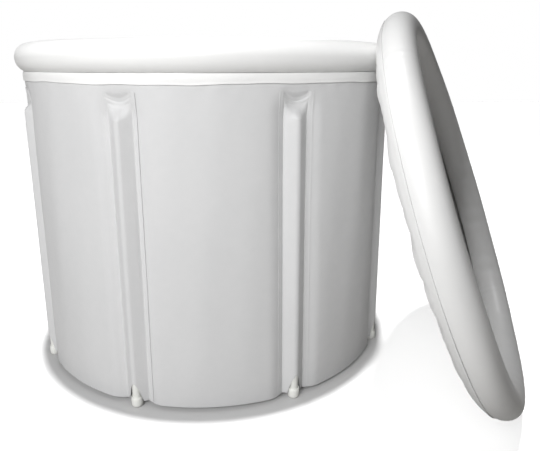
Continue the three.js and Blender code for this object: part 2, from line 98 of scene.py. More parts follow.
def make_object(name: str, points: Array, quads: Array, cut: Array, crease_deg: float = 40.0) -> Thing:
    """A mesh object at the origin from points and quads, with its flat-pattern map.

    Args:
        name: the piece's name.
        points: vertices (n, 3) in metres.
        quads: vertex numbers (m, 4).
        cut: flat-pattern place of each corner (m, 4, 2) in metres.
        crease_deg: edges that turn by more than this are sharp.

    Returns:
        The new object, linked to the scene.
    """
    mesh = bpy.data.meshes.new(name)
    mesh.vertices.add(len(points))
    mesh.vertices.foreach_set("co", points.astype(np.float32).ravel())
    mesh.loops.add(quads.size)
    mesh.loops.foreach_set("vertex_index", quads.astype(np.int32).ravel())
    mesh.polygons.add(len(quads))
    mesh.polygons.foreach_set("loop_start", np.arange(0, quads.size, 4, dtype=np.int32))
    layer = mesh.uv_layers.new(name=CUT_MAP)
    layer.uv.foreach_set("vector", cut.astype(np.float32).ravel())
    mesh.update(calc_edges=True)
    merged = bmesh.new()
    merged.from_mesh(mesh)
    bmesh.ops.remove_doubles(merged, verts=merged.verts, dist=1e-6)
    bmesh.ops.dissolve_degenerate(merged, edges=merged.edges, dist=1e-7)
    merged.to_mesh(mesh)
    merged.free()
    mesh.shade_smooth()
    mesh.set_sharp_from_angle(angle=math.radians(crease_deg))
    piece = bpy.data.objects.new(name, mesh)
    bpy.context.scene.collection.objects.link(piece)
    return piece


def flat_pattern(u: Array, v: Array) -> Array:
    """Flat-pattern grid (rows, columns, 2) from column places u and row places v."""
    across, up = np.meshgrid(u, v)
    return np.stack([across, up], -1)


def turns(count: int) -> Array:
    """Even angles round a full turn (1, count)."""
    return np.linspace(0, 2 * np.pi, count, endpoint=False)[None, :]


def round_length(radius: float, count: int) -> Array:
    """Even places along a circle's length, from its start to its end (count + 1)."""
    return np.linspace(0, 2 * np.pi * radius, count + 1)


def at_corners(grid: Array, corners: Array) -> Array:
    """Values of a grid at the row and column of each quad's corners."""
    return grid[corners[..., 0], corners[..., 1]]


def run_along(line: Array) -> Array:
    """Length along a line of points (n, 2), from 0 at its first."""
    return np.concatenate([[0], np.cumsum(np.linalg.norm(np.diff(line, axis=0), axis=1))])


def headings(line: Array) -> Array:
    """Unit direction of a line of points (n, 2) at each of them."""
    step = np.gradient(line, axis=0)
    return step / np.linalg.norm(step, axis=1, keepdims=True)


def moved(points: Array, place: Array) -> Array:
    """Points carried by a matrix (4, 4)."""
    return points @ place[:3, :3].T + place[:3, 3]


def shell(name: str, front: Array, back: Array, cut: Array, wrap: bool) -> Thing:
    """A closed sheet between two grids: front faces outwards, rims close the edges.

    Args:
        name: the piece's name.
        front: outer points (rows, columns, 3).
        back: inner points (rows, columns, 3).
        cut: flat-pattern places (rows, columns, 2), with one more column where wrapped.
        wrap: whether the last column joins the first.

    Returns:
        The new object.
    """
    rows, columns = front.shape[:2]
    behind = rows * columns
    face, corners = grid_quads(rows, columns, False, wrap)
    count = columns if wrap else columns - 1
    here = np.arange(count)
    after = (here + 1) % columns
    last = (rows - 1) * columns
    foot = np.stack([behind + here, behind + after, after, here], -1)
    head = np.stack([last + here, last + after, behind + last + after, behind + last + here], -1)
    quads = [face, face[:, ::-1] + behind, foot, head]
    places = at_corners(cut, corners)
    rim = np.stack([here, here + 1, here + 1, here], -1)
    maps = [places, places[:, ::-1], cut[0, rim], cut[-1, rim]]
    if not wrap:
        low = np.arange(rows - 1) * columns
        high = low + columns
        end = columns - 1
        quads.append(np.stack([low, high, high + behind, low + behind], -1))
        quads.append(np.stack([low + behind + end, high + behind + end, high + end, low + end], -1))
        row = np.arange(rows - 1)
        side = np.stack([row, row + 1, row + 1, row], -1)
        maps += [cut[side, 0], cut[side, -1]]
    points = np.concatenate([front.reshape(-1, 3), back.reshape(-1, 3)])
    return make_object(name, points, np.concatenate(quads), np.concatenate(maps))


def rounded(profile: Array, radius: float, steps: int = 5) -> Array:
    """A profile whose inner corners are eased by curves through each corner's two cut points.

    Args:
        profile: points (n, 2).
        radius: how far from a corner its curve starts, at most half of each side.
        steps: points on each curve.

    Returns:
        The eased profile (m, 2).
    """
    before, corner, after = profile[:-2], profile[1:-1], profile[2:]
    back, ahead = before - corner, after - corner
    back_length = np.linalg.norm(back, axis=1, keepdims=True)
    ahead_length = np.linalg.norm(ahead, axis=1, keepdims=True)
    start = corner + back / back_length * np.minimum(radius, 0.48 * back_length)
    end = corner + ahead / ahead_length * np.minimum(radius, 0.48 * ahead_length)
    t = np.linspace(0, 1, steps)[None, :, None]
    curve = (1 - t) ** 2 * start[:, None] + 2 * t * (1 - t) * corner[:, None] + t**2 * end[:, None]
    return np.concatenate([profile[:1], curve.reshape(-1, 2), profile[-1:]])


def turned(name: str, profile: Array, place: Array, sides: int) -> Thing:
    """A turned piece: the profile of radius and height runs up its outside, about the place's third axis.

    Args:
        name: the piece's name.
        profile: points (n, 2) from one end of the outline to the other.
        place: matrix (4, 4) from the turning frame to the tub's.
        sides: points round the axis.

    Returns:
        The new object.
    """
    points = moved(round_about(turns(sides), profile[:, :1], profile[:, 1:]), place)
    quads, corners = grid_quads(len(profile), sides, False, True)
    pattern = flat_pattern(round_length(profile[:, 0].max(), sides), run_along(profile))
    cut = at_corners(pattern, corners)
    return make_object(name, points.reshape(-1, 3), quads, cut, 50.0)


def through(points: Array, count: int) -> Array:
    """Points spread evenly by length along a smooth curve through the given ones.

    Each span is a cubic whose end slopes are half the chord between its neighbours.

    Args:
        points: points (n, 2) that the curve passes.
        count: points to give back.

    Returns:
        Points (count, 2) along the curve.
    """
    ends = np.concatenate([2 * points[:1] - points[1:2], points, 2 * points[-1:] - points[-2:-1]])
    t = np.linspace(0, 1, 24, endpoint=False)[None, :, None]
    a, b, c, d = ends[:-3, None], ends[1:-2, None], ends[2:-1, None], ends[3:, None]
    curve = b + t / 2 * (c - a + t * (2 * a - 5 * b + 4 * c - d + t * (3 * (b - c) + d - a)))
    line = np.concatenate([curve.reshape(-1, 2), points[-1:]])
    run = run_along(line)
    even = np.linspace(0, run[-1], count)
    return np.stack([np.interp(even, run, line[:, 0]), np.interp(even, run, line[:, 1])], -1)


def bell(distance: Array, width: float) -> Array:
    """A smooth hump of height 1 that fades over the width."""
    return np.exp(-((distance / width) ** 2))


def smooth(value: Array, low: float, high: float) -> Array:
    """0 below low, 1 above high, and an eased step between."""
    t = np.clip((value - low) / (high - low), 0, 1)
    return t * t * (3 - 2 * t)


def round_about(angle: Array, radius: Array, height: Array) -> Array:
    """Points at an angle about the tub's axis, a radius from it and a height."""
    radius, height = np.broadcast_arrays(radius + 0 * angle, height + 0 * angle)
    return np.stack([radius * np.cos(angle), radius * np.sin(angle), height], -1)


# Shared effects


class Wiring:
    """Adds nodes to a tree and joins them."""

    def __init__(self, tree: bpy.types.NodeTree) -> None:
        """Keeps the tree."""
        self.tree = tree

    def add(self, kind: str, **settings: object) -> bpy.types.Node:
        """A new node.

        Args:
            kind: the node's Blender type.
            settings: properties to set on it.

        Returns:
            The node.
        """
        node = self.tree.nodes.new(kind)
        for title, value in settings.items():
            setattr(node, title, value)
        return node

    def feed(self, socket: bpy.types.NodeSocket, value: object) -> None:
        """Joins an output to an input, or sets the input's own value.

        Args:
            socket: the input.
            value: an output, or a plain value.
        """
        if isinstance(value, bpy.types.NodeSocket):
            self.tree.links.new(value, socket)
        else:
            socket.default_value = value

    def feed_all(self, node: bpy.types.Node, inputs: dict[str, object]) -> None:
        """Feeds a node's inputs by name."""
        for title, value in inputs.items():
            self.feed(node.inputs[title], value)

    def math(self, operation: str, *values: object) -> bpy.types.NodeSocket:
        """The result of a math node.

        Args:
            operation: what the node does.
            values: outputs or numbers, in the order of its inputs.

        Returns:
            The node's output.
        """
        node = self.add("ShaderNodeMath", operation=operation)
        for socket, value in zip(node.inputs, values):
            self.feed(socket, value)
        return node.outputs[0]

    def noise(self, place: object, scale: object, detail: float, roughness: float) -> bpy.types.NodeSocket:
        """A noise value.

        Args:
            place: where the noise is read.
            scale: how close its grains lie.
            detail: how many finer layers it has.
            roughness: how strong the finer layers are.

        Returns:
            The noise, mostly between 0.3 and 0.7.
        """
        node = self.add("ShaderNodeTexNoise")
        self.feed_all(node, {"Vector": place, "Scale": scale, "Detail": detail, "Roughness": roughness})
        return node.outputs[0]

    def remap(
        self, value: object, old: tuple[float, float], new: tuple[float, float]
    ) -> bpy.types.NodeSocket:
        """A value carried from one range to another, and kept inside it.

        Args:
            value: an output or a number.
            old: the range that it comes from.
            new: the range that it goes to.

        Returns:
            The node's output.
        """
        node = self.add("ShaderNodeMapRange")
        ranges = {"From Min": old[0], "From Max": old[1], "To Min": new[0], "To Max": new[1]}
        self.feed_all(node, {"Value": value, **ranges})
        return node.outputs[0]

    def spread(self, noise: object) -> bpy.types.NodeSocket:
        """A noise value stretched to run from 0 to 1."""
        return self.remap(noise, (0.3, 0.7), (0.0, 1.0))

    def blend(self, share: object, first: object, second: object) -> bpy.types.NodeSocket:
        """A colour between two.

        Args:
            share: how much of the second colour there is.
            first: a colour with its alpha, or an output.
            second: the same.

        Returns:
            The node's output.
        """
        node = self.add("ShaderNodeMix", data_type="RGBA")
        self.feed_all(node, {"Factor": share, "A": first, "B": second})
        return node.outputs["Result"]

    def bump(
        self, height: object, strength: float, distance: float, under: object = None
    ) -> bpy.types.NodeSocket:
        """A normal bent by a height.

        Args:
            height: the height, from 0 to 1.
            strength: how much of the bend is kept.
            distance: how high 1 is, in metres.
            under: a normal that is bent already, or None.

        Returns:
            The bent normal.
        """
        node = self.add("ShaderNodeBump")
        self.feed_all(node, {"Height": height, "Strength": strength, "Distance": distance})
        if under is not None:
            self.feed(node.inputs["Normal"], under)
        return node.outputs[0]

    def group(self, tree: bpy.types.NodeTree, **inputs: object) -> bpy.types.Node:
        """A placed group with its inputs fed.

        Args:
            tree: the group.
            inputs: outputs or plain values by socket name.

        Returns:
            The group's node.
        """
        node = self.add("ShaderNodeGroup", node_tree=tree)
        self.feed_all(node, inputs)
        return node


def new_group(
    name: str, inputs: dict[str, float | None], outputs: list[str]
) -> tuple[Wiring, bpy.types.NodeOutputs, bpy.types.Node]:
    """An empty shader group with named sockets.

    Args:
        name: the group's name.
        inputs: socket names with their default value, or None for a vector.
        outputs: names of the value outputs.

    Returns:
        A wiring of the group, the sockets that bring its inputs, and its output node.
    """
    tree = bpy.data.node_groups.new(name, "ShaderNodeTree")
    for title, value in inputs.items():
        kind = "NodeSocketVector" if value is None else "NodeSocketFloat"
        socket = tree.interface.new_socket(name=title, in_out="INPUT", socket_type=kind)
        if value is not None:
            socket.default_value = value
    for title in outputs:
        tree.interface.new_socket(name=title, in_out="OUTPUT", socket_type="NodeSocketFloat")
    source, sink = tree.nodes.new("NodeGroupInput"), tree.nodes.new("NodeGroupOutput")
    return Wiring(tree), source.outputs, sink


class Effects:
    """Node groups that several finishes use."""

    def __init__(self) -> None:
        """Builds each group once."""
        self.weave = self._weave()
        self.mottle = self._mottle()
        self.grain = self._grain()

    def _weave(self) -> bpy.types.NodeTree:
        """Threads under a coating: crossed sine ridges on the flat pattern, blurred by a fine noise.

        Returns:
            The group, which puts out a height.
        """
        wire, given, sink = new_group("thread_weave", {"Place": None, "Pitch": 0.0012}, ["Height"])
        split = wire.add("ShaderNodeSeparateXYZ")
        wire.feed(split.inputs[0], given["Place"])
        rate = wire.math("DIVIDE", 2 * math.pi, given["Pitch"])
        across = wire.math("SINE", wire.math("MULTIPLY", split.outputs[0], rate))
        along = wire.math("SINE", wire.math("MULTIPLY", split.outputs[1], rate))
        crossed = wire.math("MULTIPLY", across, along)
        blur = wire.noise(given["Place"], 900.0, 2.0, 0.5)
        wire.feed(sink.inputs["Height"], wire.math("MULTIPLY_ADD", crossed, 0.35, blur))
        return wire.tree

    def _mottle(self) -> bpy.types.NodeTree:
        """Broad clouding, handling marks and dust that gathers low down.

        Returns:
            The group, which puts out three shares from 0 to 1.
        """
        inputs = {"Place": None, "Scale": 5.0, "Dust Height": 0.05}
        wire, given, sink = new_group("handled_mottle", inputs, ["Cloud", "Marks", "Dust"])
        place, scale = given["Place"], given["Scale"]
        cloud = wire.noise(place, scale, 4.0, 0.55)
        fine = wire.noise(place, wire.math("MULTIPLY", scale, 9.0), 3.0, 0.6)
        split = wire.add("ShaderNodeSeparateXYZ")
        wire.feed(split.inputs[0], place)
        low = wire.math("DIVIDE", split.outputs[2], given["Dust Height"])
        fade = wire.math("MAXIMUM", wire.math("SUBTRACT", 1.0, low), 0.0)
        dust = wire.math("MULTIPLY", fade, fine)
        wire.feed_all(sink, {"Cloud": wire.spread(cloud), "Marks": wire.spread(fine), "Dust": dust})
        return wire.tree

    def _grain(self) -> bpy.types.NodeTree:
        """Fine moulding grain and the soft flow marks of a moulded piece.

        Returns:
            The group, which puts out a height and a share.
        """
        inputs = {"Place": None, "Scale": 700.0}
        wire, given, sink = new_group("moulding_grain", inputs, ["Height", "Flow"])
        place, scale = given["Place"], given["Scale"]
        wide = wire.noise(place, wire.math("MULTIPLY", scale, 0.06), 2.0, 0.5)
        wire.feed_all(sink, {"Height": wire.noise(place, scale, 3.0, 0.6), "Flow": wire.spread(wide)})
        return wire.tree


def new_material(name: str) -> tuple[bpy.types.Material, Wiring, bpy.types.Node]:
    """A material with its wiring and its main shader.

    Args:
        name: the material's name.

    Returns:
        The material, a wiring of its tree, and its Principled BSDF.
    """
    made = bpy.data.materials.new(name)
    made.use_nodes = True
    return made, Wiring(made.node_tree), made.node_tree.nodes["Principled BSDF"]


# Finishes


@dataclass(frozen=True)
class Finish:
    """A surface between two colours and two roughnesses."""

    name: str
    light: tuple[float, float, float]
    deep: tuple[float, float, float]
    smoothest: float
    roughest: float

    def colour(self, wire: Wiring, shader: bpy.types.Node, share: object, marks: object) -> None:
        """Feeds the main shader's colour and roughness.

        Args:
            wire: the material's wiring.
            shader: its main shader.
            share: how much of the deep colour there is.
            marks: how far the roughness is from the smoothest to the roughest.
        """
        tone = wire.blend(share, (*self.light, 1), (*self.deep, 1))
        rough = wire.remap(marks, (0.0, 1.0), (self.smoothest, self.roughest))
        wire.feed_all(shader, {"Base Color": tone, "Roughness": rough})


@dataclass(frozen=True)
class SheetFinish(Finish):
    """Coated sheet: a woven core under a smooth coat, clouded and a little handled."""

    pitch: float
    weave_depth: float
    crinkle_depth: float
    coat: float
    dust_height: float = 0.05

    def material(self, effects: Effects) -> bpy.types.Material:
        """The procedural material.

        Args:
            effects: the shared groups.

        Returns:
            A new material that reads the flat-pattern map and object coordinates.
        """
        made, wire, shader = new_material(self.name)
        here = wire.add("ShaderNodeTexCoord").outputs["Object"]
        cut = wire.add("ShaderNodeUVMap", uv_map=CUT_MAP).outputs[0]
        weave = wire.group(effects.weave, Place=cut, Pitch=self.pitch)
        mottle = wire.group(effects.mottle, Place=here, **{"Dust Height": self.dust_height})
        share = wire.math("MULTIPLY", mottle.outputs["Marks"], 0.3)
        share = wire.math("MULTIPLY_ADD", mottle.outputs["Cloud"], 0.5, share)
        share = wire.math("MULTIPLY_ADD", mottle.outputs["Dust"], 0.6, share)
        self.colour(wire, shader, share, mottle.outputs["Marks"])
        threads = wire.bump(weave.outputs["Height"], 0.35, self.weave_depth)
        crinkle = wire.bump(mottle.outputs["Cloud"], 0.5, self.crinkle_depth, threads)
        coat = {"Coat Weight": self.coat, "Coat Roughness": 0.35, "Specular IOR Level": 0.4}
        wire.feed_all(shader, {"Normal": crinkle, **coat})
        return made


@dataclass(frozen=True)
class MouldedFinish(Finish):
    """Moulded plastic or rubber with a fine grain, flow marks and scuffs."""

    grain_scale: float
    grain_depth: float

    def material(self, effects: Effects) -> bpy.types.Material:
        """The procedural material, on object coordinates.

        Args:
            effects: the shared groups.

        Returns:
            A new material.
        """
        made, wire, shader = new_material(self.name)
        here = wire.add("ShaderNodeTexCoord").outputs["Object"]
        grain = wire.group(effects.grain, Place=here, Scale=self.grain_scale)
        mottle = wire.group(effects.mottle, Place=here, Scale=24.0, **{"Dust Height": 0.02})
        share = wire.math("MULTIPLY_ADD", mottle.outputs["Dust"], 0.7, grain.outputs["Flow"])
        self.colour(wire, shader, share, mottle.outputs["Marks"])
        wire.feed(shader.inputs["Normal"], wire.bump(grain.outputs["Height"], 0.4, self.grain_depth))
        return made


GREY_SHEET = SheetFinish(
    "grey_laminate", (0.69, 0.69, 0.695), (0.645, 0.65, 0.655), 0.5, 0.62, 0.0013, 0.00012, 0.0012, 0.05
)
WHITE_SHEET = SheetFinish(
    "white_air_sheet", (0.9, 0.9, 0.895), (0.86, 0.862, 0.858), 0.36, 0.48, 0.0009, 0.00004, 0.0005, 0.12
)
LINER_SHEET = SheetFinish(
    "pale_liner", (0.74, 0.75, 0.76), (0.68, 0.695, 0.71), 0.4, 0.52, 0.0013, 0.0001, 0.0014, 0.08
)
FOAM = MouldedFinish("closed_foam", (0.5, 0.52, 0.54), (0.44, 0.46, 0.48), 0.85, 0.95, 420.0, 0.0006)
WHITE_PLASTIC = MouldedFinish(
    "white_moulding", (0.94, 0.945, 0.91), (0.9, 0.905, 0.87), 0.3, 0.45, 900.0, 0.00008
)
GREY_PLASTIC = MouldedFinish(
    "grey_moulding", (0.25, 0.26, 0.275), (0.2, 0.21, 0.225), 0.38, 0.52, 800.0, 0.0001
)
RUBBER = MouldedFinish("black_rubber", (0.022, 0.022, 0.023), (0.03, 0.03, 0.031), 0.7, 0.85, 600.0, 0.0002)


class LightSets:
    """Sets of pieces that a lamp can be kept to."""

    def __init__(self) -> None:
        """Makes the empty sets."""
        self.floor = bpy.data.collections.new("floor_set")
        self.tub = bpy.data.collections.new("tub_set")
        self.lid = bpy.data.collections.new("lid_set")

    def add(self, piece: Thing, name: str) -> None:
        """Puts a piece into the lid's set or the tub's, by the name of its body or node."""
        (self.lid if name.startswith("lid") else self.tub).objects.link(piece)


class Wardrobe:
    """Materials by record slot, and the way a piece is dressed."""

    def __init__(self, sets: LightSets) -> None:
        """Keeps the light sets and makes each finish's material once.

        Args:
            sets: the sets that dressed pieces are put into.
        """
        self.sets = sets
        effects = Effects()
        finishes = {
            Slot.WALL: GREY_SHEET,
            Slot.WHITE: WHITE_SHEET,
            Slot.LINER: LINER_SHEET,
            Slot.FOAM: FOAM,
            Slot.WHITE_PLASTIC: WHITE_PLASTIC,
            Slot.GREY_PLASTIC: GREY_PLASTIC,
            Slot.RUBBER: RUBBER,
        }
        self.materials = {slot: finish.material(effects) for slot, finish in finishes.items()}

    def dress(self, piece: Thing, slot: Slot, body: str, *nodes: str) -> None:
        """Gives a new piece its finish and body, and lets it stand for CAD nodes.

        Args:
            piece: the object.
            slot: its material slot.
            body: the CAD body that it rides on.
            nodes: CAD nodes that it replaces.
        """
        piece.data.materials.clear()
        piece.data.materials.append(self.materials[slot])
        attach(piece, body)
        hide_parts(*nodes)
        self.sets.add(piece, body)
        log.info("%s stands for %s", piece.name, ", ".join(nodes))

    def finish_nodes(self, slot: Slot, *nodes: str) -> None:
        """Gives CAD nodes that stay in view a finish.

        Args:
            slot: the finish's material slot.
            nodes: names of the nodes.
        """
        for node in nodes:
            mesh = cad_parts[node].data
            mesh.materials.clear()
            mesh.materials.append(self.materials[slot])
            self.sets.add(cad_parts[node], node)
            log.info("%s keeps its solid", node)


# The tub


@dataclass(frozen=True)
class WallShape:
    """Sizes of the tub's wall, and how its sheet eases in and out of a true round."""

    radius: float = 0.445
    skin: float = 0.0012
    gap: float = 0.0003
    foam: float = 0.006
    low: float = 0.0018
    top: float = 0.6822
    band_low: float = 0.6668
    band_top: float = 0.6867
    valley_depth: float = 0.018
    valley_half: float = 0.062
    leg_count: int = 8
    first_leg: float = math.radians(-109)
    tuck_height: float = 0.634
    tuck_smile: float = 0.009
    tunnel_half: float = 0.026
    valley_end: float = 0.6
    belly: float = 0.0018
    ripple: float = 0.0004
    dent: float = 0.0022
    crease: float = 0.0013
    stroke: float = 0.0012
    pucker: float = 0.0006

    def leg_angle(self, number: int) -> float:
        """Angle of a leg about the tub's axis."""
        return self.first_leg + (number - 1) * 2 * math.pi / self.leg_count

    def across(self, angle: Array) -> Array:
        """Distance along the wall from the nearest leg, with its sign."""
        step = 2 * math.pi / self.leg_count
        return self.radius * ((angle - self.first_leg + step / 2) % step - step / 2)

    def above_crease(self, across: Array, height: Array) -> Array:
        """Height over the smile-shaped crease that closes a sleeve."""
        share = np.minimum(1, (across / self.tunnel_half) ** 2)
        return height - self.tuck_height - self.tuck_smile * share

    def valley(self, across: Array, height: Array) -> Array:
        """Depth of the dip along a rod: a squared cosine across, fading out below the band.

        Args:
            across: distance along the wall from the rod.
            height: above the base.

        Returns:
            Distance inwards.
        """
        share = np.minimum(1, np.abs(across) / self.valley_half)
        fade = 1 - smooth(height, self.valley_end, self.band_low + 0.004)
        return self.valley_depth * np.cos(share * math.pi / 2) ** 2 * fade

    def ease(self, angle: Array, height: Array) -> Array:
        """How far the sheet lies outside its dipped round.

        Panels belly between the sleeves, slow ripples cross the sheet, each sleeve's crease is a groove
        with a dent over it and two short strokes under it, and short puckers hang from the band.

        Args:
            angle: about the tub's axis.
            height: above the base.

        Returns:
            Distance outwards.
        """
        across = self.across(angle)
        beside = np.abs(across)
        held = smooth(height, 0.0, 0.09) * smooth(self.top - height, 0.0, 0.075)
        belly = self.belly * np.sin(math.pi * height / self.top) * smooth(beside, 0.05, 0.16)
        waves = 1.25 * np.sin(19 * angle + 4 * height) + np.sin(31 * angle - 6 * height + 1)
        ripple = self.ripple * (waves + np.sin(7 * angle + 15 * height))
        over = self.above_crease(across, height)
        dent = -self.dent * bell(over - 0.006, 0.006) - self.crease * bell(over, 0.0019)
        dent = dent * (1 - smooth(beside, 0.021, 0.033))
        stroke = -self.stroke * bell(over + 0.0085, 0.0021) * bell(beside - 0.018, 0.0055)
        drop = self.band_low - height
        pucker = self.pucker * bell(drop - 0.007, 0.009) * np.sin(57 * angle + 0.6) * np.sin(11 * angle + 2)
        return held * (belly + ripple) + dent + stroke + pucker * smooth(drop, 0.0, 0.004)

    def reach(self, angle: Array, height: Array) -> Array:
        """Radius of the wall's outer face."""
        return self.radius - self.valley(self.across(angle), height) + self.ease(angle, height)


@dataclass(frozen=True)
class WallAssembly:
    """The laminated wall and floor, and the white band under the ring."""

    shape: WallShape
    wardrobe: Wardrobe
    columns: int = 480
    plain_rows: int = 56
    fine_rows: int = 35
    fine_height: float = 0.1
    band_rows: int = 14
    band_pattern: float = 0.02
    base_thick: float = 0.0015
    base_edge: float = 0.0006
    floor_foam_high: float = 0.0098
    floor_foam_edge: float = 0.002
    liner_columns: int = 240
    liner_floor_rows: int = 34
    liner_wall_rows: int = 70
    liner_low: float = 0.0101
    corner: float = 0.012

    def layer(self, name: str, outer: float, thick: float, low: float, high: float) -> Thing:
        """A layer of the wall that follows the wall's ease.

        Args:
            name: the piece's name.
            outer: how far its outer face lies inside the true round.
            thick: its thickness.
            low: its lower edge.
            high: its upper edge.

        Returns:
            The new piece.
        """
        angle = turns(self.columns)
        bend = high - self.fine_height
        plain, fine = np.linspace(low, bend, self.plain_rows), np.linspace(bend, high, self.fine_rows)
        height = np.concatenate([plain, fine[1:]])[:, None]
        radius = self.shape.reach(angle, height) - outer
        cut = flat_pattern(round_length(self.shape.radius, self.columns), height[:, 0])
        front, back = (round_about(angle, reach, height) for reach in (radius, radius - thick))
        return shell(name, front, back, cut, True)

    def band(self) -> Thing:
        """The white strip under the ring: its lower edge wanders a little and ends in a rolled bead.

        Returns:
            The new piece.
        """
        shape = self.shape
        angle = turns(self.columns)
        share = np.linspace(0, 1, self.band_rows)[:, None] ** 1.4
        wander = 0.0011 * np.sin(5 * angle + 1) + 0.0007 * np.sin(13 * angle) + 0.0004 * np.sin(29 * angle)
        low = shape.band_low + wander
        height = low + (shape.band_top - low) * share
        puff = 0.0008 * bell(share, 0.16) + 0.0009 * np.sin(math.pi * share)
        puff = puff + 0.0004 * np.sin(23 * angle + 2) * np.sin(math.pi * share)
        inner = shape.gap + shape.reach(angle, np.minimum(height, shape.top)) + puff
        drawn = shape.band_low + self.band_pattern * share[:, 0]
        cut = flat_pattern(round_length(shape.radius, self.columns), drawn)
        front, back = (round_about(angle, reach, height) for reach in (inner + shape.skin, inner))
        return shell("band", front, back, cut, True)

    def liner(self) -> Thing:
        """The bag inside: a flat floor, an eased corner, and a wall with a few slack lines over the floor.

        The profile turns about the axis, dips at the rods and eases like the wall. Its floor swells in
        low spiral waves.

        Returns:
            The new piece.
        """
        shape = self.shape
        outer = shape.radius - shape.skin - shape.foam - 2 * shape.gap
        profile = np.array([[0, self.liner_low], [outer, self.liner_low], [outer, shape.top]])
        bend = rounded(profile, self.corner, 8)[1:-1]
        along = np.linspace(0, bend[0, 0], self.liner_floor_rows)[:-1]
        upwards = np.linspace(bend[-1, 1], shape.top, self.liner_wall_rows)[1:]
        floor = np.stack([along, np.full_like(along, self.liner_low)], -1)
        wall = np.stack([np.full_like(upwards, outer), upwards], -1)
        line = np.concatenate([floor, bend, wall])
        angle = turns(self.liner_columns)
        plain, rise = line[:, :1], line[:, 1:]
        upright = smooth(rise, 0.02, 0.09)
        slack = 0.0009 * np.sin(26 * angle + 30 * rise) * bell(rise - 0.05, 0.05)
        dip = shape.valley(shape.across(angle), rise)
        reach = plain * (1 - dip / shape.radius) + upright * (shape.ease(angle, rise) + slack)
        on_floor = smooth(outer - 0.02 - plain, 0.0, 0.06) * smooth(plain, 0.0, 0.1)
        rise = rise + np.abs(0.0009 * on_floor * np.sin(9 * reach / outer + 3 * angle))
        step = shape.skin * headings(line)
        front = round_about(angle, reach, rise)
        back = round_about(angle, reach - step[:, 1:], rise + step[:, :1])
        cut = flat_pattern(round_length(shape.radius, self.liner_columns), run_along(line))
        return shell("liner_bag", front, back, cut, True)

    def disc(self, name: str, radius: float, low: float, high: float, edge: float) -> Thing:
        """A panel with eased edges, whose outline dips at the rods like the wall.

        Args:
            name: the piece's name.
            radius: between the rods.
            low: its underside.
            high: its upper side.
            edge: how far the edges are eased.

        Returns:
            The new piece.
        """
        profile = rounded(np.array([[0, low], [radius, low], [radius, high], [0, high]]), edge)
        angle = turns(self.columns)
        dip = self.shape.valley(self.shape.across(angle), np.zeros_like(angle))
        reach = profile[:, :1] * (1 - dip / self.shape.radius)
        points = round_about(angle, reach, profile[:, 1:])
        quads, corners = grid_quads(len(profile), self.columns, False, True)
        around = np.concatenate([points, points[:, :1]], 1)[..., :2]
        return make_object(name, points.reshape(-1, 3), quads, at_corners(around, corners))

    def build(self) -> None:
        """Makes and dresses the wall's layers, the floor and the band."""
        shape, wardrobe = self.shape, self.wardrobe
        skin = self.layer("wall_skin", 0.0, shape.skin, shape.low, shape.top)
        wardrobe.dress(skin, Slot.WALL, "tub", "outer_wall")
        filling = self.layer("wall_filling", shape.skin + shape.gap, shape.foam, shape.low, shape.top)
        wardrobe.dress(filling, Slot.FOAM, "tub", "wall_foam")
        inside = shape.radius - shape.skin - shape.foam
        bag = self.liner()
        wardrobe.dress(bag, Slot.LINER, "tub", "inner_liner")
        base = self.disc("base_sheet", shape.radius, 0.0, self.base_thick, self.base_edge)
        wardrobe.dress(base, Slot.WALL, "tub", "base_panel")
        inner = inside - 2 * shape.gap
        high, edge = self.floor_foam_high, self.floor_foam_edge
        filling = self.disc("floor_filling", inner, shape.low, high, edge)
        wardrobe.dress(filling, Slot.FOAM, "tub", "floor_foam")
        band = self.band()
        wardrobe.dress(band, Slot.WHITE, "tub", "top_band")


